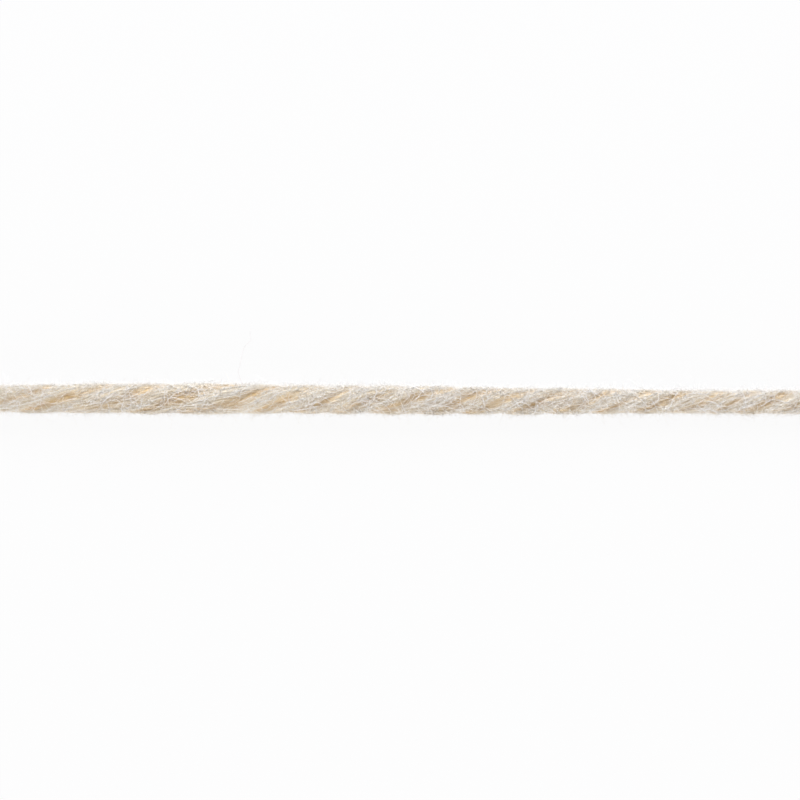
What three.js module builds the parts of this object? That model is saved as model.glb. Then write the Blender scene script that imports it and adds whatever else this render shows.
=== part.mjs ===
// A cut length of soft cotton yarn, lying straight on a surface: four plies wound together in a Z twist.
// Units are millimetres. X runs along the yarn, Y lies across it on the surface and Z is up.
// The origin is on the surface, under the middle of the yarn.

import * as THREE from "three";

// The cut length, and how the plies lie in it
const cutLength = 100;
const plyCount = 4;
const plyOffset = 0.4; // a ply's centre from the yarn's axis, as a share of the yarn's radius
const beddedHeight = 0.9; // the axis above the surface, as a share of the radius: the underside is flattened

// How finely the plies' surface is faceted
const facetsPerPly = 6;
const stepsAlong = 120;

const creamCotton = { color: 0xd6cabb, roughness: 0.95, metalness: 0 };

// The yarn's sections, from its left end to its right one
//   x      place along the yarn
//   width  across the crests of the plies
//   turns  how often the plies have wound round by here: fewer where the yarn is thick, more where it is thin
//   drift  how far the axis lies off the X axis, along Y
const sections = [
  { x: -50, width: 3.0, turns: -0.26, drift: -0.04 },
  { x: -40, width: 3.05, turns: 0.16, drift: -0.01 },
  { x: -30, width: 3.25, turns: 0.58, drift: 0.03 },
  { x: -20, width: 3.35, turns: 1.01, drift: 0.01 },
  { x: -10, width: 3.13, turns: 1.47, drift: -0.07 },
  { x: 0, width: 3.13, turns: 2.01, drift: -0.12 },
  { x: 10, width: 2.9, turns: 2.58, drift: -0.22 },
  { x: 20, width: 2.75, turns: 3.14, drift: -0.25 },
  { x: 30, width: 2.52, turns: 3.79, drift: -0.32 },
  { x: 40, width: 2.55, turns: 4.47, drift: -0.35 },
  { x: 50, width: 2.55, turns: 5.16, drift: -0.37 },
];

// A smooth curve through the table's rows, read at any place along the yarn
const alongYarn = new THREE.CubicInterpolant(
  sections.map((row) => row.x),
  sections.flatMap((row) => [row.width / 2, row.turns, row.drift]),
  3,
);

function sectionAt(x) {
  const [radius, turns, drift] = alongYarn.evaluate(x);
  return { radius, turns, drift };
}

// The outline of the plies packed together in a yarn of radius 1: an arc for each ply, meeting in grooves
function pliedOutline() {
  const plyRadius = 1 - plyOffset;
  const plyAngle = (2 * Math.PI) / plyCount;
  const facetCount = plyCount * facetsPerPly;
  const points = [];
  for (let i = 0; i < facetCount; i++) {
    const angle = (i / facetCount) * 2 * Math.PI;
    const fromCrest = angle - plyAngle * Math.round(angle / plyAngle);
    const across = plyOffset * Math.sin(fromCrest);
    const reach = plyOffset * Math.cos(fromCrest) + Math.sqrt(plyRadius ** 2 - across ** 2);
    points.push(new THREE.Vector2(reach * Math.cos(angle), reach * Math.sin(angle)));
  }
  return new THREE.Shape(points);
}

// The outline drawn out to the cut length, then each of its points twisted, sized and laid on the surface
function yarnStrand() {
  const geometry = new THREE.ExtrudeGeometry(pliedOutline(), {
    depth: cutLength,
    steps: stepsAlong,
    bevelEnabled: false,
  });
  const position = geometry.attributes.position;
  for (let i = 0; i < position.count; i++) {
    const x = position.getZ(i) - cutLength / 2;
    const { radius, turns, drift } = sectionAt(x);
    const point = new THREE.Vector2(position.getX(i), position.getY(i));
    point.rotateAround(new THREE.Vector2(), -2 * Math.PI * turns).multiplyScalar(radius);
    position.setXYZ(i, x, point.x + drift, Math.max(0, point.y + beddedHeight * radius));
  }
  geometry.computeVertexNormals();
  const strand = new THREE.Mesh(geometry, new THREE.MeshStandardMaterial(creamCotton));
  strand.name = "yarn_strand";
  return strand;
}

const cottonYarn = new THREE.Group();
cottonYarn.add(yarnStrand());

export default cottonYarn;
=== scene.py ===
import bmesh
import bpy
import numpy as np
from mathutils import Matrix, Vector


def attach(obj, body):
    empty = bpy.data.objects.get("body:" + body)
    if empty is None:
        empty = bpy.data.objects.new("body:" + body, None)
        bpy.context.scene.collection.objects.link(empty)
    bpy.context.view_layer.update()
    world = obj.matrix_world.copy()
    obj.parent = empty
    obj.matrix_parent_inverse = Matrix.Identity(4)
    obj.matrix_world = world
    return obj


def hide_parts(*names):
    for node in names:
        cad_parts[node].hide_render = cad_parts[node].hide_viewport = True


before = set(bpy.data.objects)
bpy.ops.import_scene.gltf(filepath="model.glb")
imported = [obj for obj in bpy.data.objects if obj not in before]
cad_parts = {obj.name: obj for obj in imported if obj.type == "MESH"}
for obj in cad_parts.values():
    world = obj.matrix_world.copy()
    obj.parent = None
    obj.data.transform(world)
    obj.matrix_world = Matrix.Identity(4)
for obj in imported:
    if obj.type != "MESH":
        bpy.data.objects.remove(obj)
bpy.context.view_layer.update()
print("frame loaded:", sorted(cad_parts))

mm = 0.001  # the sizes below are millimetres, Blender's are metres
scene = bpy.context.scene

# The strand itself, as in the CAD: x along it, width over the crests, turns wound by there, drift of its axis
strand = {
    "sections": [
        (-50, 3.0, -0.26, -0.04),
        (-40, 3.05, 0.16, -0.01),
        (-30, 3.25, 0.58, 0.03),
        (-20, 3.35, 1.01, 0.01),
        (-10, 3.13, 1.47, -0.07),
        (0, 3.13, 2.01, -0.12),
        (10, 2.9, 2.58, -0.22),
        (20, 2.75, 3.14, -0.25),
        (30, 2.52, 3.79, -0.32),
        (40, 2.55, 4.47, -0.35),
        (50, 2.55, 5.16, -0.37),
    ],
    "plies": 4,
    "plyOffset": 0.415,  # a ply's centre from the axis, as a share of the yarn's radius
    "bedded": 0.9,  # the axis above the floor, as a share of the radius
    "packing": 0.95,  # the packed fibres reach this share of the radius, and loose ones the rest
    "plySway": (17, 0.05),  # how a ply strays round the axis: once in so many millimetres, in radians
    "plySwell": (11, 0.06),  # and how it thickens and thins, as a share
    "plyGive": 0.5,  # where a ply is thick, its centre moves in by this share of the change
    "fills": 0.1,  # how softly two plies meet in a groove
    "groove": (0.98, 0.17),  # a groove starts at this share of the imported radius, and is that share deep
    "lump": 0.04,  # the height of soft lumps on the plies
    "lumpSize": (2.3, 8),  # millimetres long, and so many in a turn
    "tuft": 0.024,  # the height of the tufts along the plies
    "tuftSizes": [(5.5, 20, 0.05, 0.8), (3.0, 36, -0.03, 0.55)],  # as above, then their slant and their share
    "seeds": {"sway": 11, "swell": 51, "tufts": 71, "lumps": 101, "openness": 5},
}
halfLength = 50.0

# Where the plies part, and painted shade warms the groove between them: x, half the parting's length, how
# wide it opens, and how far round the plies are pushed there, in radians
partings = {
    "rows": [
        (-41.1, 1.3, 0.8, 0.0),
        (-35.7, 1.3, 0.9, 0.25),
        (-28.1, 2.4, 0.8, 0.0),
        (-24.2, 1.8, 0.9, 0.2),
        (-16.4, 2.6, 1.0, -0.3),
        (-11.9, 0.9, 0.9, 0.0),
        (-7.6, 1.3, 0.8, 0.16),
        (-3.7, 1.0, 0.2, 0.35),
        (1.0, 1.9, 0.9, 0.34),
        (6.4, 1.3, 0.8, 0.0),
        (10.7, 2.1, 0.9, 0.05),
        (15.5, 2.2, 0.7, 0.15),
        (24.0, 2.0, 0.8, 0.0),
        (28.2, 1.3, 0.7, -0.1),
        (32.0, 1.0, 0.3, -0.2),
        (35.0, 0.9, 0.6, 0.0),
    ],
    "pushReach": 2.2,  # how far along the yarn a push is felt
    "opens": 0.75,  # what a parting adds to the openness on the upper side
    "elsewhere": 0.6,  # how open the grooves are between them
    "patchy": (2.2, 6, 0.5),  # and how that varies: millimetres long, so many in a turn, by this share
    "shadeBetweenTufts": 0.3,  # painted shade: how much of the warmer groove colour goes between the tufts
    "shadeInFilledGrooves": 0.5,  # painted shade: and how much goes in a groove that fibres fill
}


def throughRows(x, column):
    # a smooth curve through one column of the sections, which are evenly spaced
    rows = np.array(strand["sections"], float)
    known = rows[:, column]
    values = np.concatenate([[2 * known[0] - known[1]], known, [2 * known[-1] - known[-2]]])
    spot = np.clip((x - rows[0, 0]) / (rows[1, 0] - rows[0, 0]), 0, len(rows) - 1 - 1e-9)
    row = np.floor(spot).astype(int)
    t = spot - row
    before, start, end, after = (values[row + k] for k in range(4))
    bend = 2 * before - 5 * start + 4 * end - after + t * (3 * (start - end) + after - before)
    return start + 0.5 * t * (end - before + t * bend)


def wander(x, wave, seed):
    # a smooth random curve along the yarn, from about -1 to 1, that turns about once a wave
    rng = np.random.default_rng(seed)
    total = np.zeros_like(x, float)
    for share in (1.0, 0.6, 0.37):
        total = total + np.sin(2 * np.pi * (x / (wave * share) + rng.random())) * share
    return total / 1.4


def cloudy(x, angle, long, around, seed):
    # smooth random lumps over the yarn, about -1 to 1: long millimetres each, and so many in a turn
    cells = 256  # more than fit along the yarn
    lattice = np.random.default_rng(seed).uniform(-1, 1, (around, cells))
    u, v = angle / (2 * np.pi) * around, x / long
    i, j = np.floor(u).astype(int), np.floor(v).astype(int)
    s, t = u - i, v - j
    s, t = s * s * (3 - 2 * s), t * t * (3 - 2 * t)  # eased, so that the lumps have no corners
    near = lattice[i % around, j % cells] * (1 - s) + lattice[(i + 1) % around, j % cells] * s
    far = lattice[i % around, (j + 1) % cells] * (1 - s) + lattice[(i + 1) % around, (j + 1) % cells] * s
    return near * (1 - t) + far * t


def axisAt(x):
    # the yarn's radius, how far its plies have turned in radians, and its axis: sideways drift and height
    radius = throughRows(x, 1) / 2
    return radius, 2 * np.pi * throughRows(x, 2), throughRows(x, 3), radius * strand["bedded"]


def plyAt(x, k):
    # a ply's angle round the axis (0 is up, a quarter turn is +Y), its centre's offset and its own radius
    radius, turned, _, _ = axisAt(x)
    packed = radius * strand["packing"]
    swayWave, sway = strand["plySway"]
    swellWave, swell = strand["plySwell"]
    angle = turned + 2 * np.pi * k / strand["plies"] + sway * wander(x, swayWave, strand["seeds"]["sway"] + k)
    for middle, _, _, push in partings["rows"]:
        angle = angle + push * np.exp(-(((x - middle) / partings["pushReach"]) ** 2))
    size = 1 + swell * wander(x, swellWave, strand["seeds"]["swell"] + k)
    offset = packed * strand["plyOffset"] * (1 + strand["plyGive"] * (1 - size))
    return angle, offset, packed * (1 - strand["plyOffset"]) * size


def tuftAt(x, angle):
    # long narrow tufts of fibres side by side along the plies, from about -1 to 1
    own = angle - axisAt(x)[1]
    total = 0
    for seed, (long, around, slant, share) in enumerate(strand["tuftSizes"], strand["seeds"]["tufts"]):
        total = total + share * cloudy(x, own + slant * x, long, around, seed)
    return total


def lumpAt(x, angle):
    # how far the surface swells or sinks there
    lump = cloudy(x, angle - axisAt(x)[1], *strand["lumpSize"], strand["seeds"]["lumps"])
    return strand["lump"] * lump + strand["tuft"] * tuftAt(x, angle)


def place(x, angle, reach):
    # the point at that angle round the axis, and that far out from it
    _, _, drift, height = axisAt(x)
    return np.stack([x, drift + reach * np.sin(angle), height + reach * np.cos(angle)], axis=-1)


def grooveDepth(x, reach):
    # 0 on the plies' crests, 1 at the bottom of a groove
    packed = axisAt(x)[0] * strand["packing"]
    top, deep = strand["groove"]
    return np.clip((packed * top - reach) / (packed * deep), 0, 1)


def surfaceAt(x, angle):
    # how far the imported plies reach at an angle, and how deep in a groove that is. Where two meet, the soft
    # fibres fill the corner between them
    total = np.zeros_like(x)
    for k in range(strand["plies"]):
        plyAngle, offset, plyRadius = plyAt(x, k)
        away = angle - plyAngle
        inside = plyRadius**2 - (offset * np.sin(away)) ** 2
        reach = offset * np.cos(away) + np.sqrt(np.maximum(inside, 0))
        total = total + np.where(inside > 0, np.exp(reach / strand["fills"]), 0)
    reach = strand["fills"] * np.log(total)
    return reach, grooveDepth(x, reach)


def openness(x, angle):
    # 0 where fibres fill the groove, 1 where the plies part
    long, around, share = partings["patchy"]
    opened = partings["elsewhere"] * (1 + share * cloudy(x, angle, long, around, strand["seeds"]["openness"]))
    upwards = np.clip(np.cos(angle), 0, 1)
    for middle, half, wide, _ in partings["rows"]:
        opened = opened + wide * np.exp(-(((x - middle) / half) ** 2)) * upwards * partings["opens"]
    return np.clip(opened, 0, 1)


def paintedGrooveShade(x, angle, deep):
    # painted shade: how much of the warmer groove colour goes on, in the grooves and a little between the
    # tufts
    between = partings["shadeBetweenTufts"] * np.clip(-tuftAt(x, angle), 0, 1)
    closed = partings["shadeInFilledGrooves"]
    return np.clip(deep**0.8 * (closed + (1 - closed) * openness(x, angle)) + between, 0, 1)


# Camera: straight above, as far along and across as the photograph shows
view = {
    "width": 84.0,
    "middle": (0.0, -0.12),
    "height": 500.0,
    "focus": 1.5,  # the height where a width of 84 mm fills the view
    "sensor": 36,
    "pixelFilter": 1.75,  # in pixels, a little more than the usual 1.5, as the photograph is slightly soft
}


def makeCamera():
    camera = bpy.data.objects.new("camera", bpy.data.cameras.new("camera"))
    scene.collection.objects.link(camera)
    camera.location = (view["middle"][0] * mm, view["middle"][1] * mm, view["height"] * mm)
    camera.data.sensor_width = view["sensor"]
    camera.data.lens = view["sensor"] * (view["height"] - view["focus"]) / view["width"]
    camera.data.clip_start = 0.01
    scene.camera = camera
    scene.cycles.filter_width = view["pixelFilter"]
    print("camera: straight above,", view["width"], "mm across")


makeCamera()

# The plies packed together, one closed skin with the grooves between them and rounded, cut ends
skin = {
    "around": 44,
    "rings": 900,
    "under": 0.05,  # it lies this far under the fibres that cover it
    "endRound": 0.45,
    "endIn": 0.9,  # how far its ends close
    "uvRadius": 1.5,  # turns an angle into millimetres round the yarn
}


def makeSkin():
    bm = bmesh.new()
    bmesh.ops.create_cone(bm, cap_ends=True, segments=skin["around"], radius1=1, radius2=1, depth=2)
    long = [e for e in bm.edges if abs(e.verts[0].co.z - e.verts[1].co.z) > 1]
    bmesh.ops.subdivide_edges(bm, edges=long, cuts=skin["rings"] - 1, use_grid_fill=False)
    bmesh.ops.recalc_face_normals(bm, faces=bm.faces)
    mesh = bpy.data.meshes.new("plied_yarn")
    bm.to_mesh(mesh)
    bm.free()
    co = np.zeros(len(mesh.vertices) * 3, np.float32)
    mesh.vertices.foreach_get("co", co)
    co = co.reshape(-1, 3).astype(float)
    # the last rings turn in over each end
    fromEnd = halfLength * (1 - np.abs(co[:, 2]))
    t = np.clip(1 - fromEnd / skin["endRound"], 0, 1)
    inwards = np.where(t > 0, skin["endRound"] * (1 - np.sin(t * np.pi / 2)), fromEnd)
    x = np.sign(co[:, 2]) * (halfLength - inwards)
    turnIn = np.sqrt(np.clip(1 - skin["endIn"] * t**2.5, 0, 1))
    own = np.arctan2(co[:, 1], -co[:, 0])
    angle = axisAt(x)[1] + own
    reach, deep = surfaceAt(x, angle)
    reach = reach - skin["under"] + lumpAt(x, angle)
    spot = place(x, angle, reach * turnIn)
    spot[:, 2] = np.maximum(spot[:, 2], 0.0)  # it lies flat on the floor
    mesh.vertices.foreach_set("co", (spot * mm).astype(np.float32).ravel())
    # painted shade: how much of the warmer groove colour the skin takes
    paintedShade = paintedGrooveShade(x, angle, deep).astype(np.float32)
    mesh.attributes.new("depth", "FLOAT", "POINT").data.foreach_set("value", paintedShade)
    # UV in millimetres: along the plies, and round the yarn
    loops = np.zeros(len(mesh.loops), np.int32)
    mesh.loops.foreach_get("vertex_index", loops)
    starts = np.zeros(len(mesh.polygons), np.int32)
    counts = np.zeros(len(mesh.polygons), np.int32)
    mesh.polygons.foreach_get("loop_start", starts)
    mesh.polygons.foreach_get("loop_total", counts)
    first = np.repeat(own[loops[starts]], counts)
    around = own[loops] + 2 * np.pi * np.round((first - own[loops]) / (2 * np.pi))
    uv = np.stack([x[loops], around * skin["uvRadius"]], axis=-1)
    mesh.uv_layers.new(name="along").data.foreach_set("uv", uv.astype(np.float32).ravel())
    mesh.update()
    mesh.shade_smooth()
    piece = bpy.data.objects.new("plied_yarn", mesh)
    scene.collection.objects.link(piece)
    print("skin:", len(mesh.vertices), "points")
    return piece


# A real cotton fibre is about 0.02 mm thick and 25 mm long. All the fibres below are drawn shorter and
# fewer, and most of them thicker, as coarse as they need to be to show
def fibreMesh(name, points, radii, tint, depth):
    # joins many three-sided closed fibres; points is fibres by steps by 3, in millimetres
    fibres, steps = points.shape[:2]
    tangent = np.gradient(points, axis=1)
    tangent /= np.linalg.norm(tangent, axis=2, keepdims=True) + 1e-12
    side = np.cross(tangent[:, 0], np.array([0.31, 0.17, 0.93]))  # next to no fibre runs in this direction
    side /= np.linalg.norm(side, axis=1, keepdims=True) + 1e-12
    sides = np.zeros_like(points)
    for i in range(steps):
        side = side - (side * tangent[:, i]).sum(1, keepdims=True) * tangent[:, i]
        side /= np.linalg.norm(side, axis=1, keepdims=True) + 1e-12
        sides[:, i] = side
    across = np.cross(tangent, sides)
    turn = np.arange(3) * 2 * np.pi / 3
    ring = (sides[:, :, None] * np.cos(turn)[:, None] + across[:, :, None] * np.sin(turn)[:, None])
    verts = points[:, :, None] + ring * radii[:, :, None, None]
    verts[..., 2] = np.maximum(verts[..., 2], 0.002)  # just above the floor
    index = np.arange(fibres * steps * 3).reshape(fibres, steps, 3)
    a, b = index[:, :-1], index[:, 1:]
    quads = np.stack([a, np.roll(a, -1, 2), np.roll(b, -1, 2), b], axis=-1).reshape(-1, 4)
    caps = np.concatenate([index[:, 0, ::-1], index[:, -1]])
    mesh = bpy.data.meshes.new(name)
    mesh.vertices.add(verts.size // 3)
    mesh.vertices.foreach_set("co", (verts * mm).astype(np.float32).ravel())
    loops = np.concatenate([quads.ravel(), caps.ravel()]).astype(np.int32)
    mesh.loops.add(len(loops))
    mesh.loops.foreach_set("vertex_index", loops)
    starts = np.concatenate([np.arange(len(quads)) * 4, len(quads) * 4 + np.arange(len(caps)) * 3])
    mesh.polygons.add(len(starts))
    mesh.polygons.foreach_set("loop_start", starts.astype(np.int32))
    mesh.update(calc_edges=True)
    # depth carries painted shade: how much of the warmer groove colour a fibre takes
    for label, values in (("tint", tint), ("depth", depth)):
        spread = np.broadcast_to(values[:, :, None], (fibres, steps, 3)).astype(np.float32).ravel()
        mesh.attributes.new(label, "FLOAT", "POINT").data.foreach_set("value", spread)
    mesh.shade_smooth()
    mesh.validate()
    piece = bpy.data.objects.new(name, mesh)
    scene.collection.objects.link(piece)
    print(name + ":", fibres, "fibres,", len(quads) * 2 + len(caps), "triangles")
    return piece


# Fibres that lie along the plies and make their surface
plyFibres = {
    "pieces": 2,
    "count": 2400,
    "steps": 10,
    "length": (3.0, 8.5),
    "thick": (0.04, 0.075),
    "pointed": 0.65,  # how much thinner they are at their ends
    "outer": 2.1,  # how far round their ply they lie, each way from its outer side, in radians
    "untwist": -0.13,  # radians a millimetre round the ply, because each ply was spun the other way
    "spread": 0.1,
    "snakes": [(4.5, 0.06), (1.9, 0.035)],  # how they sway: once in so many millimetres, in radians
    "lift": 0.02,  # how far they lie above or below their ply's surface
    "liftWave": 3.1,
    "dive": 0.1,  # and how deep their ends tuck in
    "tuftTint": 0.14,  # painted light: how much lighter the raised tufts are
    "tint": 0.18,  # and how much fibres differ
    "seed": 21,
}


def makePlyFibres(name, seed):
    rng = np.random.default_rng(seed)
    n, steps = plyFibres["count"], plyFibres["steps"]
    k = rng.integers(0, strand["plies"], n)
    length = rng.uniform(*plyFibres["length"], n)
    start = rng.uniform(-halfLength - length * 0.8, halfLength - length * 0.2)  # some run on past the cuts
    low, high = np.maximum(start, 0.05 - halfLength), np.minimum(start + length, halfLength - 0.05)
    t = np.linspace(0, 1, steps)
    x = low[:, None] + (high - low)[:, None] * t
    turn = rng.normal(plyFibres["untwist"], plyFibres["spread"], n)[:, None]
    outer = plyFibres["outer"]
    beta = rng.uniform(-outer, outer, n)[:, None] + (x - (low + high)[:, None] / 2) * turn
    for wave, sway in plyFibres["snakes"]:
        beta = beta + sway * np.sin(2 * np.pi * (x / wave + rng.random(n)[:, None]))
    dive = plyFibres["dive"] * (2 * t - 1) ** 6
    lift = rng.normal(0.0, plyFibres["lift"], n)[:, None]
    rise = plyFibres["lift"] * np.sin(2 * np.pi * (x / plyFibres["liftWave"] + rng.random(n)[:, None]))
    lift = lift + rise - dive
    y, z = np.zeros_like(x), np.zeros_like(x)
    for ply in range(strand["plies"]):
        rows = k == ply
        angle, offset, plyRadius = plyAt(x[rows], ply)
        _, _, drift, height = axisAt(x[rows])
        out = angle + beta[rows]
        reach = plyRadius + lift[rows]
        y[rows] = drift + offset * np.sin(angle) + reach * np.sin(out)
        z[rows] = height + offset * np.cos(angle) + reach * np.cos(out)
    thick = rng.uniform(*plyFibres["thick"], n)[:, None] / 2 * np.ones_like(x)
    pointed = plyFibres["pointed"]
    thick = thick * (1 - pointed + pointed * np.sqrt(np.clip(1 - (2 * t - 1) ** 2, 0, 1)))
    _, _, drift, height = axisAt(x)
    angle = np.arctan2(y - drift, z - height)
    # painted shade where the fibre lies down in a groove
    deep = paintedGrooveShade(x, angle, grooveDepth(x, np.hypot(y - drift, z - height)))
    lump = lumpAt(x, angle)
    points = np.stack([x, y + lump * np.sin(angle), z + lump * np.cos(angle)], axis=-1)
    points[..., 2] = np.maximum(points[..., 2], thick)
    # the raised tufts are painted lighter: painted light
    tint = 0.5 + plyFibres["tuftTint"] * tuftAt(x, angle) + rng.normal(0, plyFibres["tint"], n)[:, None]
    return fibreMesh(name, points, thick, np.clip(tint, 0, 1), deep)


# Loose fibres that cross the plies
crossing = {
    "count": 1100,
    "steps": 11,
    "length": (1.5, 5.5),
    "thick": (0.028, 0.052),
    "spread": 0.18,  # how far most fibres turn from the plies' own slope, in radians
    "astray": 0.1,  # and this share by far more
    "curl": 0.5,  # radians a millimetre
    "gathered": 0.1,  # this share lies in the tangles
    "lift": (0.0, 0.09),
    "seed": 51,
}
# and the few that lie on top of them all, each clear to see
threads = {
    "count": 200,
    "steps": 14,
    "length": (1.2, 4.5),
    "thick": (0.052, 0.084),
    "spread": 0.3,
    "astray": 0.4,
    "curl": 0.8,
    "gathered": 0.25,
    "lift": (0.02, 0.1),
    "seed": 55,
}
# What both kinds share, and the tangles where they gather: x, and angle off the top
looseFibres = {
    "slope": 0.42,  # the plies' own, in radians from the yarn's length
    "tangles": [(-8.9, -0.35), (-4.2, -0.5), (3.2, -0.25), (14.2, -0.4), (20.0, -0.35), (32.0, -0.5),
                (-29.0, -0.3), (-21.5, 0.1), (37.0, -0.2)],
    "tangleSize": (1.4, 0.35),  # millimetres along, and radians round
    "straightens": 0.8,  # a bend is lost in so many millimetres
    "bendsAnew": 0.4,  # and a new one comes in so many
    "bridges": (0.6, 0.4),  # how far they span the grooves, and how much more on the far side
    "above": 0.03,
    "dive": 0.12,
    "pointed": 0.4,
    "tint": (0.35, 1.0),
    "margin": 0.1,  # they end this far short of the cuts
}


def walkSurface(rng, x, angle, heading, curl, length, steps):
    # smooth random walks over the yarn: each fibre's x and angle at every step, heading measured from +X
    xs, angles = np.zeros((len(x), steps)), np.zeros((len(x), steps))
    step = length / (steps - 1)
    bend = rng.normal(0, curl, len(x))
    for i in range(steps):
        xs[:, i], angles[:, i] = x, angle
        anew = rng.normal(0, curl, len(x)) * np.sqrt(1 - np.exp(-step / looseFibres["bendsAnew"]))
        bend = bend * np.exp(-step / looseFibres["straightens"]) + anew
        heading = heading + bend * step
        x = x + np.cos(heading) * step
        angle = angle + np.sin(heading) * step / axisAt(x)[0]
    # a fibre that would run past an end is moved back along the yarn
    margin = looseFibres["margin"]
    past = np.maximum(xs.max(1) - halfLength + margin, 0) + np.minimum(xs.min(1) + halfLength - margin, 0)
    return xs - past[:, None], angles


def makeCrossing(name, fibres):
    rng = np.random.default_rng(fibres["seed"])
    n, steps = fibres["count"], fibres["steps"]
    length = rng.uniform(*fibres["length"], n)
    x, angle = rng.uniform(-halfLength + 0.5, halfLength - 0.5, n), rng.uniform(-np.pi, np.pi, n)
    gathered = rng.random(n) < fibres["gathered"]
    tangle = np.array(looseFibres["tangles"])[rng.integers(0, len(looseFibres["tangles"]), n)]
    long, around = looseFibres["tangleSize"]
    x = np.where(gathered, tangle[:, 0] + rng.normal(0, long, n), x)
    angle = np.where(gathered, tangle[:, 1] + rng.normal(0, around, n), angle)
    astray = gathered | (rng.random(n) < fibres["astray"])
    heading = looseFibres["slope"] + rng.normal(0, 1, n) * np.where(astray, 1.0, fibres["spread"])
    xs, angles = walkSurface(rng, x, angle, heading, fibres["curl"], length, steps)
    surface = surfaceAt(xs, angles)[0]
    even, farther = looseFibres["bridges"]
    bridge = rng.uniform(0, 1, n)[:, None] * (even + farther * np.sin(angles))
    reach = surface + (axisAt(xs)[0] * strand["packing"] - surface) * bridge + lumpAt(xs, angles)
    t = np.linspace(0, 1, steps)
    lift = rng.uniform(*fibres["lift"], n)[:, None] * np.sin(np.pi * t) + looseFibres["above"]
    points = place(xs, angles, reach + (lift - looseFibres["dive"] * (2 * t - 1) ** 6))
    pointed = looseFibres["pointed"]
    thick = rng.uniform(*fibres["thick"], n)[:, None] / 2 * (1 - pointed + pointed * np.sin(np.pi * t))
    points[..., 2] = np.maximum(points[..., 2], thick)
    tint = rng.uniform(*looseFibres["tint"], n)[:, None] * np.ones_like(xs)
    return fibreMesh(name, points, thick, tint, np.zeros_like(xs))


# Fine fibre ends: a few long ones that stray
fuzz = {
    "count": 2500,
    "steps": 6,
    "length": (0.6, 2.2),
    "thick": (0.018, 0.028),
    "stand": (0.05, 0.8),  # how steeply they leave the surface
    "side": 0.0,  # how many more of them are on the far side, +Y
    "seed": 71,
}
# a short down that lies along the plies
down = {
    "pieces": 2,
    "count": 5000,
    "steps": 4,
    "length": (0.3, 1.0),
    "thick": (0.028, 0.042),
    "stand": (0.1, 0.8),
    "side": 0.4,
    "seed": 81,
}
# and a nap that stands up, painted nearly white, which whitens the yarn's two edges
nap = {
    "count": 13000,
    "steps": 2,
    "length": (0.15, 0.65),
    "thick": (0.028, 0.046),
    "stand": (0.8, 3.0),
    "side": 0.6,
    "seed": 85,
}
# What the three kinds share
fineFibres = {
    "shuns": 0.6,  # how few of them start where the plies part
    "fan": 0.25,  # how far they fan out from the plies' slope
    "rooted": 0.05,  # they start this far inside the surface
    "curl": (0.75, 0.7, 0.5),  # how much of its bend a fibre keeps, how much it bends anew, and how strongly
    "lies": 0.5,  # how fast they turn down towards the surface
    "past": 1.2,  # how far past the cuts they may reach
    "lowest": 0.02,
    "taper": 0.5,
    "tint": (0.6, 1.0),
    # painted shade: a fibre takes this share of the groove shade where its root is
    "rootShade": 0.7,
}


def makeFuzz(name, hairs, seed):
    rng = np.random.default_rng(seed)
    n, steps = hairs["count"], hairs["steps"]
    length = rng.uniform(*hairs["length"], n)
    step = length / (steps - 1)
    x = rng.uniform(-halfLength + 0.1, halfLength - 0.1, 2 * n)
    angle = rng.uniform(-np.pi, np.pi, 2 * n)
    parted = surfaceAt(x, angle)[1] * openness(x, angle)
    rank = rng.random(2 * n) + fineFibres["shuns"] * parted - hairs["side"] * np.clip(np.sin(angle), 0, 1)
    kept = np.argsort(rank)[:n]
    x, angle = x[kept], angle[kept]
    out = np.stack([np.zeros(n), np.sin(angle), np.cos(angle)], axis=-1)
    along = np.array([1.0, 0, 0])
    around = np.cross(out, along)
    lean = rng.normal(0, 1, (n, 2))
    sideways = lean[:, :1] * looseFibres["slope"] + lean[:, 1:] * fineFibres["fan"]
    heading = out * rng.uniform(*hairs["stand"], n)[:, None] + along * lean[:, :1] + around * sideways
    heading /= np.linalg.norm(heading, axis=1, keepdims=True)
    surface, deep = surfaceAt(x, angle)
    spot = place(x, angle, surface + lumpAt(x, angle) - fineFibres["rooted"])
    keeps, anew, strong = fineFibres["curl"]
    bend = rng.normal(0, 1, (n, 3))
    points = np.zeros((n, steps, 3))
    for i in range(steps):
        points[:, i] = spot
        bend = bend * keeps + rng.normal(0, anew, (n, 3))
        heading = heading + (bend * strong - out * fineFibres["lies"]) * step[:, None]
        heading /= np.linalg.norm(heading, axis=1, keepdims=True)
        spot = spot + heading * step[:, None]
    farthest = halfLength + fineFibres["past"]
    points[..., 0] = np.clip(points[..., 0], -farthest, farthest)
    points[..., 2] = np.maximum(points[..., 2], fineFibres["lowest"])
    t = np.linspace(0, 1, steps)
    thick = rng.uniform(*hairs["thick"], n)[:, None] / 2 * (1 - fineFibres["taper"] * t)
    tint = rng.uniform(*fineFibres["tint"], n)[:, None] * np.ones_like(thick)
    # painted shade, taken from the groove where the fibre is rooted
    paintedShade = fineFibres["rootShade"] * paintedGrooveShade(x, angle, deep)[:, None] * np.ones_like(thick)
    return fibreMesh(name, points, thick, tint, paintedShade)


# Two fibres that stray well clear of the yarn: x, y and height of points along each
strays = {
    "paths": [
        [(-15.9, 0.9, 2.6), (-16.6, 1.6, 2.5), (-16.8, 2.35, 2.3), (-17.05, 2.8, 2.1), (-16.8, 3.4, 1.8),
         (-16.7, 4.2, 1.3), (-16.5, 5.1, 0.8), (-16.3, 5.7, 0.5), (-15.6, 6.1, 0.3), (-15.85, 6.6, 0.15),
         (-15.7, 7.4, 0.05)],
        [(-19.3, 1.1, 2.4), (-19.1, 1.45, 2.5), (-18.8, 1.85, 2.55), (-18.5, 2.25, 2.55)],
    ],
    "thick": 0.022,
    "taper": 0.7,  # the tip's thickness, as a share
    "steps": 28,
    "tint": 0.2,
}


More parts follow.
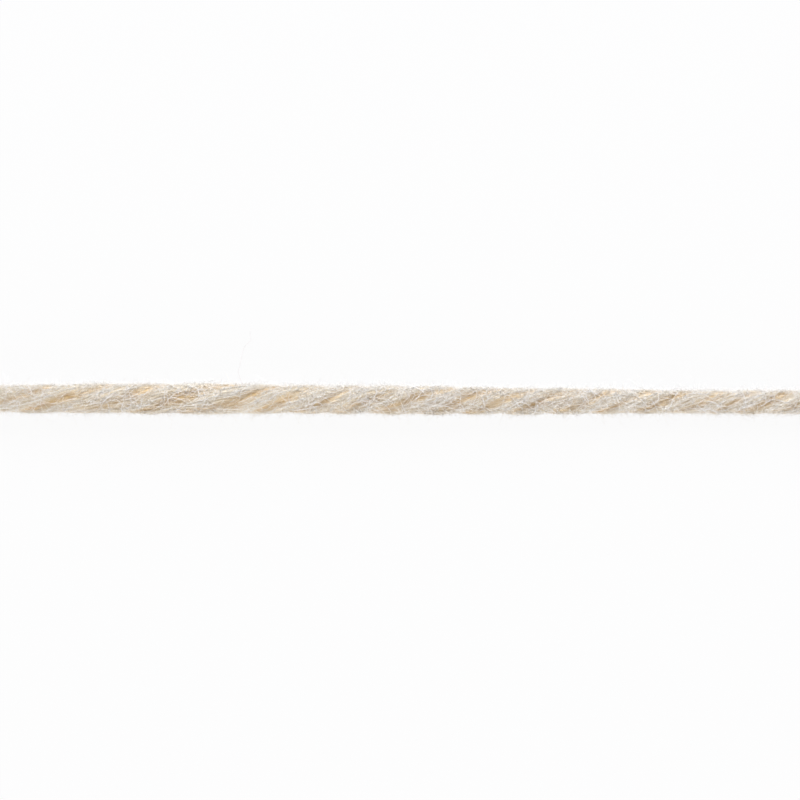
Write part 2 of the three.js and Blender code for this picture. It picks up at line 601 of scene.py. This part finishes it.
def makeStrays(name):
    steps = strays["steps"]
    points = []
    for path in strays["paths"]:
        rows = np.array(path)
        spots = np.linspace(0, len(rows) - 1, steps)
        columns = [np.interp(spots, np.arange(len(rows)), rows[:, i]) for i in range(3)]
        points.append(np.stack(columns, axis=-1))
    points = np.array(points)
    for _ in range(2):  # eases the corners
        points[:, 1:-1] = (points[:, :-2] + 2 * points[:, 1:-1] + points[:, 2:]) / 4
    thick = np.full(points.shape[:2], strays["thick"] / 2) * np.linspace(1, strays["taper"], steps)
    return fibreMesh(name, points, thick, np.full_like(thick, strays["tint"]), np.zeros_like(thick))


# The fibres' cut ends, a short even brush at each end of the length
cutEnds = {
    "count": 1900,
    "steps": 5,
    "inside": (0.4, 2.2),  # how far inside the yarn they start
    "out": (0.0, 0.6),  # how far they reach past its end
    "longer": (0.15, 0.45),  # this share of them goes on by about so much more
    "longest": 1.6,
    "thick": (0.045, 0.075),
    "taper": 0.25,
    "fills": 0.96,  # they fill this share of each ply's radius
    "splay": 0.28,
    "twist": 0.2,
    "droop": 0.12,
    "tint": (0.4, 1.0),
    # painted shade, warmer towards the roots inside the yarn
    "rootShade": 0.2,
    "seed": 91,
}


def makeCutEnds(name):
    rng = np.random.default_rng(cutEnds["seed"])
    n, steps = cutEnds["count"], cutEnds["steps"]
    end = np.where(np.arange(n) % 2 == 0, -1.0, 1.0)
    ply = rng.integers(0, strand["plies"], n)
    fromMiddle, roundPly = cutEnds["fills"] * np.sqrt(rng.random(n)), rng.uniform(-np.pi, np.pi, n)
    share, longer = cutEnds["longer"]
    out = rng.uniform(*cutEnds["out"], n) + np.where(rng.random(n) < share, rng.exponential(longer, n), 0)
    t = np.linspace(0, 1, steps)
    inner = rng.uniform(*cutEnds["inside"], n)
    x = (halfLength - inner)[:, None] + (inner + np.minimum(out, cutEnds["longest"]))[:, None] * t
    inside = end[:, None] * np.minimum(x, halfLength)
    _, _, drift, height = axisAt(inside)
    y, z = np.zeros_like(x), np.zeros_like(x)
    opened = 1 + cutEnds["splay"] * np.clip(x - halfLength + 0.2, 0, 2)
    for k in range(strand["plies"]):
        rows = ply == k
        angle, offset, plyRadius = plyAt(inside[rows], k)
        reach = plyRadius * fromMiddle[rows, None] * opened[rows]
        turned = angle + roundPly[rows, None] + cutEnds["twist"] * (x[rows] - halfLength) * end[rows, None]
        y[rows] = drift[rows] + offset * opened[rows] * np.sin(angle) + reach * np.sin(turned)
        z[rows] = height[rows] + offset * opened[rows] * np.cos(angle) + reach * np.cos(turned)
    past = np.clip(x - halfLength, 0, 2) ** 1.2
    drop = rng.normal(0, cutEnds["droop"], (n, 2))[:, None] * past[..., None]
    points = np.stack([end[:, None] * x, y + drop[..., 0], z + drop[..., 1]], axis=-1)
    thick = rng.uniform(*cutEnds["thick"], n)[:, None] / 2 * (1 - cutEnds["taper"] * t)
    points[..., 2] = np.maximum(points[..., 2], thick)
    tint = rng.uniform(*cutEnds["tint"], n)[:, None] * np.ones_like(x)
    # the last values are painted shade, warmer towards the roots
    return fibreMesh(name, points, thick, tint, (1 - t) * np.ones_like(x) * cutEnds["rootShade"])


def hexToLinear(code):
    parts = [int(code[i : i + 2], 16) / 255 for i in (1, 3, 5)]
    return [c / 12.92 if c <= 0.04045 else ((c + 0.055) / 1.055) ** 2.4 for c in parts] + [1.0]


def addNode(tree, kind, links=(), **settings):
    # adds a node, sets its fields and inputs, and links (input, from node, output)
    node = tree.nodes.new(kind)
    for key, value in settings.items():
        if hasattr(node, key):
            setattr(node, key, value)
        else:
            node.inputs[key.replace("_", " ")].default_value = value
    for entry, source, output in links:
        tree.links.new(source.outputs[output], node.inputs[entry])
    return node


# Undyed cotton, carded, drawn into a soft sliver, spun and plied. Its fibres are flat, kinked ribbons that
# throw light every way, so it is matt and creamy with a faint sheen at its rim. Each kind of fibre has its
# darkest and its lightest colour, and these carry painted light and shade: the packed skin is painted darker
# and warmer, and the grooves warmer still, for the light that comes back warmer from between the plies, and
# the single fibres that stand free are painted nearly white, for the light they catch
cotton = {
    "packed": ("#DCC9A3", "#EDE2CB"),
    "drawn": ("#E4D7BC", "#FBF7ED"),
    "loose": ("#F4EFE6", "#FFFDF8"),
    "fuzz": ("#F4F1E9", "#FFFEFA"),
    "nap": ("#F1EDE5", "#FEFCF7"),
    "stray": ("#D9C7C4", "#D9C7C4"),
    "groove": "#DABB84",  # painted shade: the warmer colour of light lost in the grooves
    "roughness": 0.92,
    "sheen": (0.5, 0.55),  # weight and roughness
    "specular": 0.2,
    "mottle": 10 / 7,  # millimetres across a patch where more or less of the painted groove shade shows
    "patchy": (0.3, 0.65, 0.55),  # from, to, and what is left of the painted shade in the palest patch
    "streaks": (0.3, 0.7, 1.25, 0.4),  # the darker fibres take more of the painted shade: from, to, most, least
    "fibre": (5 / 3, 1 / 13),  # millimetres long and apart, on the skin. Real ones are too fine to show
    "kink": 0.5,
    "relief": (0.5, 0.04),  # strength, and height in millimetres
}


def cottonMaterial(name, kind, streaks=False):
    material = bpy.data.materials.new(name)
    material.use_nodes = True
    tree = material.node_tree
    shader = tree.nodes["Principled BSDF"]
    shader.inputs["Roughness"].default_value = cotton["roughness"]
    shader.inputs["Sheen Weight"].default_value = cotton["sheen"][0]
    shader.inputs["Sheen Roughness"].default_value = cotton["sheen"][1]
    shader.inputs["Specular IOR Level"].default_value = cotton["specular"]
    depth = addNode(tree, "ShaderNodeAttribute", attribute_name="depth")
    where = addNode(tree, "ShaderNodeTexCoord")
    fine = 1 / (cotton["mottle"] * mm)
    mottle = addNode(tree, "ShaderNodeTexNoise", [("Vector", where, "Object")], Scale=fine, Detail=2)
    if streaks:
        # fibres side by side on the skin, kinked by the mottling
        along = addNode(tree, "ShaderNodeUVMap", uv_map="along")
        kink = addNode(tree, "ShaderNodeVectorMath", [(0, mottle, "Color")],
                       operation="SCALE", Scale=cotton["kink"])
        bent = addNode(tree, "ShaderNodeVectorMath", [(0, along, "UV"), (1, kink, 0)], operation="ADD")
        long, apart = cotton["fibre"]
        stretch = addNode(tree, "ShaderNodeMapping", [("Vector", bent, 0)], Scale=(1 / long, 1 / apart, 1))
        tint = addNode(tree, "ShaderNodeTexNoise", [("Vector", stretch, 0)], Scale=1, Detail=3, Roughness=0.6)
        strength, high = cotton["relief"]
        bump = addNode(tree, "ShaderNodeBump", [("Height", tint, "Fac")],
                       Strength=strength, Distance=high * mm)
        tree.links.new(bump.outputs["Normal"], shader.inputs["Normal"])
    else:
        tint = addNode(tree, "ShaderNodeAttribute", attribute_name="tint")
    tinted = addNode(tree, "ShaderNodeMix", [(0, tint, "Fac")], data_type="RGBA")
    tinted.inputs[6].default_value = hexToLinear(cotton[kind][0])
    tinted.inputs[7].default_value = hexToLinear(cotton[kind][1])
    low, high, least = cotton["patchy"]
    patchy = addNode(tree, "ShaderNodeMapRange", [("Value", mottle, "Fac")],
                     From_Min=low, From_Max=high, To_Min=least)
    low, high, most, least = cotton["streaks"]
    streaky = addNode(tree, "ShaderNodeMapRange", [("Value", tint, "Fac")],
                      From_Min=low, From_Max=high, To_Min=most, To_Max=least)
    # painted shade: the groove colour mixed in by the depth attribute, less in pale patches and on lighter
    # fibres
    deep = addNode(tree, "ShaderNodeMath", [(0, depth, "Fac"), (1, patchy, 0)], operation="MULTIPLY")
    shown = addNode(tree, "ShaderNodeMath", [(0, deep, 0), (1, streaky, 0)],
                    operation="MULTIPLY", use_clamp=True)
    mixed = addNode(tree, "ShaderNodeMix", [(0, shown, 0), (6, tinted, 2)], data_type="RGBA")
    mixed.inputs[7].default_value = hexToLinear(cotton["groove"])
    tree.links.new(mixed.outputs[2], shader.inputs["Base Color"])
    return material


# The stage: matt white paper that glows evenly, so that the yarn casts next to no shadow. The sky's light
# comes from round the sides, with a long soft lamp on each side of the yarn
stage = {
    "floorSize": 3,
    "paper": "#383838",  # dark under its glow, so that lamps and shadows hardly show on it
    "glow": 0.94,  # which is what makes it white
    "horizon": ("#F4F8FF", 1.72),
    "zenith": ("#FFDFAC", 0.03),
    "zenithFrom": 0.8,
    "lamps": [("key", (0, 0.58, 0.39), 8.2), ("fill", (0, -0.67, 0.2), 5.0)],
    "lampSize": (0.9, 0.5),
    "lampColour": "#EAF0FF",
}


def makeFloor():
    bm = bmesh.new()
    bmesh.ops.create_grid(bm, x_segments=1, y_segments=1, size=stage["floorSize"])
    mesh = bpy.data.meshes.new("floor")
    bm.to_mesh(mesh)
    bm.free()
    floor = bpy.data.objects.new("floor", mesh)
    scene.collection.objects.link(floor)
    material = bpy.data.materials.new("matt white paper")
    material.use_nodes = True
    shader = material.node_tree.nodes["Principled BSDF"]
    shader.inputs["Base Color"].default_value = hexToLinear(stage["paper"])
    shader.inputs["Roughness"].default_value = 1.0
    shader.inputs["Specular IOR Level"].default_value = 0.0
    shader.inputs["Emission Color"].default_value = (1, 1, 1, 1)
    shader.inputs["Emission Strength"].default_value = stage["glow"]
    mesh.materials.append(material)
    print("floor: laid")


def makeLights():
    world = bpy.data.worlds.new("soft studio")
    world.use_nodes = True
    tree = world.node_tree
    where = addNode(tree, "ShaderNodeTexCoord")
    apart = addNode(tree, "ShaderNodeSeparateXYZ", [(0, where, "Generated")])
    (low, dim), (high, bright) = stage["horizon"], stage["zenith"]
    risen = addNode(tree, "ShaderNodeMapRange", [("Value", apart, "Z")], From_Max=stage["zenithFrom"])
    fade = addNode(tree, "ShaderNodeMapRange", [("Value", risen, 0)], To_Min=dim, To_Max=bright)
    colour = addNode(tree, "ShaderNodeMix", [(0, risen, 0)], data_type="RGBA")
    colour.inputs[6].default_value = hexToLinear(low)
    colour.inputs[7].default_value = hexToLinear(high)
    sky = tree.nodes["Background"]
    tree.links.new(fade.outputs[0], sky.inputs["Strength"])
    tree.links.new(colour.outputs[2], sky.inputs["Color"])
    scene.world = world
    for name, spot, power in stage["lamps"]:
        lamp = bpy.data.lights.new(name, "AREA")
        lamp.shape = "RECTANGLE"
        lamp.size, lamp.size_y = stage["lampSize"]
        lamp.energy = power
        lamp.color = hexToLinear(stage["lampColour"])[:3]
        box = bpy.data.objects.new(name, lamp)
        scene.collection.objects.link(box)
        box.location = spot
        box.rotation_euler = (Vector((0, 0, 0)) - box.location).to_track_quat("-Z", "Y").to_euler()
    scene.view_settings.view_transform = "Standard"
    print("lights:", len(stage["lamps"]), "lamps and the sky")


makeFloor()
makeLights()

spun = cottonMaterial("combed cotton ply", "packed", streaks=True)
drawn = cottonMaterial("drawn cotton fibre", "drawn")
veil = cottonMaterial("cotton fuzz", "fuzz")
standing = cottonMaterial("cotton nap", "nap")
loose = cottonMaterial("loose cotton fibre", "loose")
stray = cottonMaterial("stray cotton fibre", "stray")
print("materials: mixed")

yarn = makeSkin()
yarn.data.materials.append(spun)
extras = []


def finishFibres(piece, material):
    piece.data.materials.append(material)
    extras.append(piece)


for number in range(plyFibres["pieces"]):
    finishFibres(makePlyFibres(f"ply_fibres_{number + 1}", plyFibres["seed"] + number), drawn)
finishFibres(makeCrossing("crossing_fibres", crossing), loose)
finishFibres(makeCrossing("top_fibres", threads), loose)
finishFibres(makeFuzz("fuzz", fuzz, fuzz["seed"]), veil)
for number in range(down["pieces"]):
    finishFibres(makeFuzz(f"down_{number + 1}", down, down["seed"] + number), veil)
finishFibres(makeFuzz("nap_1", nap, nap["seed"]), standing)
finishFibres(makeStrays("stray_fibres"), stray)
finishFibres(makeCutEnds("cut_ends"), drawn)

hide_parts("yarn_strand")
for piece in [yarn, *extras]:
    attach(piece, "root")

# The yarn, cut from a longer one at both ends
print("cord:", 2 * halfLength, "mm long")
